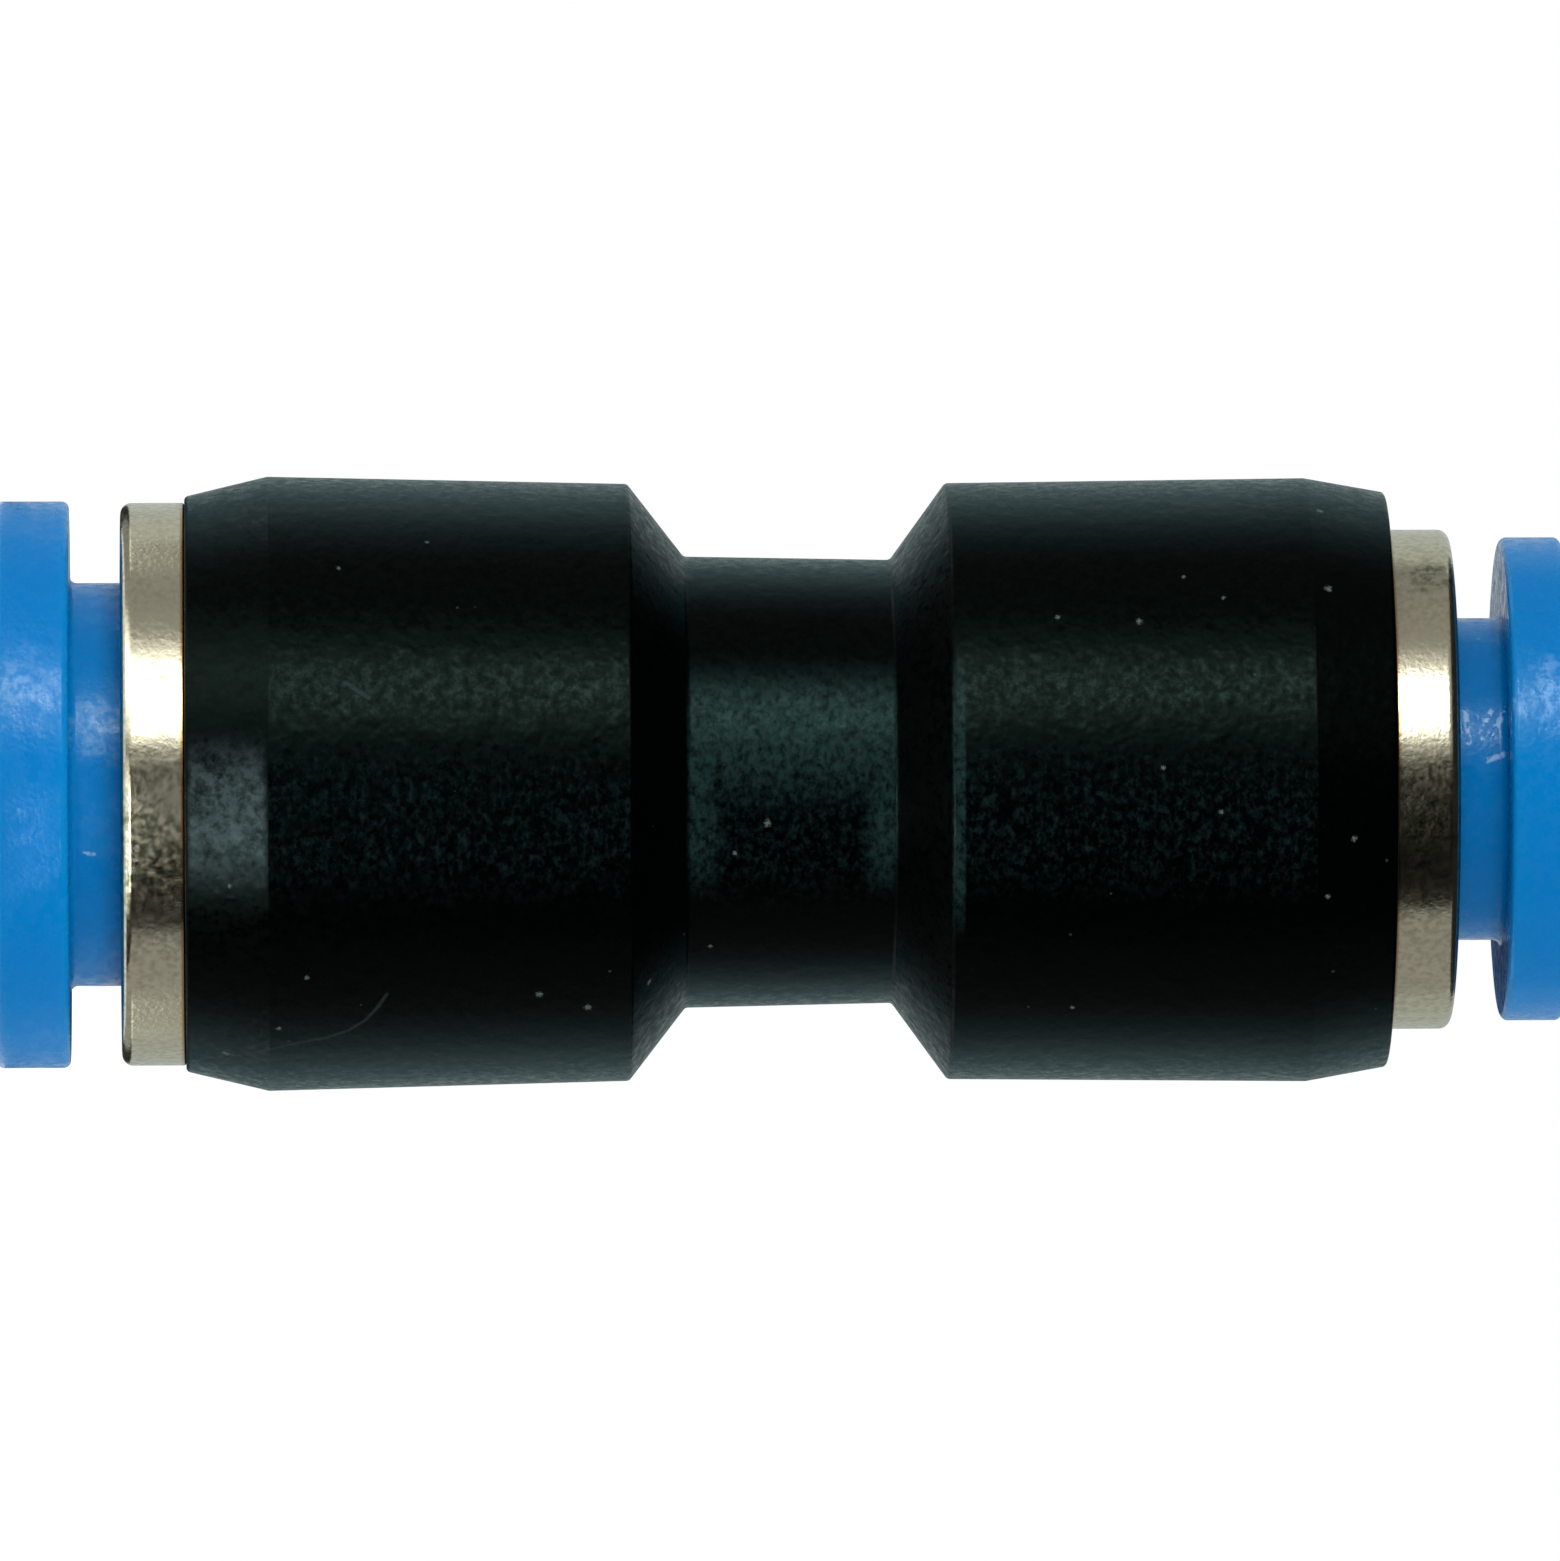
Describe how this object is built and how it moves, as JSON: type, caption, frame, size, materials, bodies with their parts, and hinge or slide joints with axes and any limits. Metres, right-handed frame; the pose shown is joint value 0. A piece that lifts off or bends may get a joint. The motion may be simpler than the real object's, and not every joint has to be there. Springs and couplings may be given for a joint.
{
  "type": "reducing push-fit connector",
  "caption": "Straight air-tube reducer with a waisted black body and a blue release sleeve at each end, for tube of two diameters.",
  "frame": {"origin": "centre of the 8 mm port's release sleeve face, on which the connector stands", "axes": "+Z along the tube axis, from the 8 mm port up to the 6 mm port; X and Y are alike"},
  "size_m": [0.0152, 0.0152, 0.0388],
  "materials": {
    "body": "black moulded glass-filled polyester, finely grained",
    "sleeve": "blue acetal, satin",
    "guide_ring": "brass with satin nickel plating",
    "claw_ring": "stamped stainless spring steel",
    "claw_seat": "natural acetal",
    "seal": "black nitrile rubber"
  },
  "bodies": {
    "housing": {"body": "body", "guide_ring_8mm": "guide_ring", "claw_seat_8mm": "claw_seat", "seal_8mm": "seal", "guide_ring_6mm": "guide_ring", "claw_seat_6mm": "claw_seat", "seal_6mm": "seal"},
    "claws_8mm": {"claw_ring_8mm": "claw_ring"},
    "sleeve_8mm": {"release_sleeve_8mm": "sleeve"},
    "claws_6mm": {"claw_ring_6mm": "claw_ring"},
    "sleeve_6mm": {"release_sleeve_6mm": "sleeve"}
  },
  "joints": [
    {"name": "claw_spin_8mm", "type": "hinge", "parent": "housing", "child": "claws_8mm", "pos_m": [0, 0, 0.00894], "axis": [0, 0, 1], "continuous": true},
    {"name": "release_press_8mm", "type": "slide", "parent": "claws_8mm", "child": "sleeve_8mm", "axis": [0, 0, 1], "range_m": [0, 0.0012], "stiffness_N_per_m": 6000, "springref_m": -0.0005, "deforming": ["claw_ring_8mm"]},
    {"name": "claw_spin_6mm", "type": "hinge", "parent": "housing", "child": "claws_6mm", "pos_m": [0, 0, 0.03022], "axis": [0, 0, 1], "continuous": true},
    {"name": "release_press_6mm", "type": "slide", "parent": "claws_6mm", "child": "sleeve_6mm", "axis": [0, 0, -1], "range_m": [0, 0.0012], "stiffness_N_per_m": 6000, "springref_m": -0.0005, "deforming": ["claw_ring_6mm"]}
  ]
}
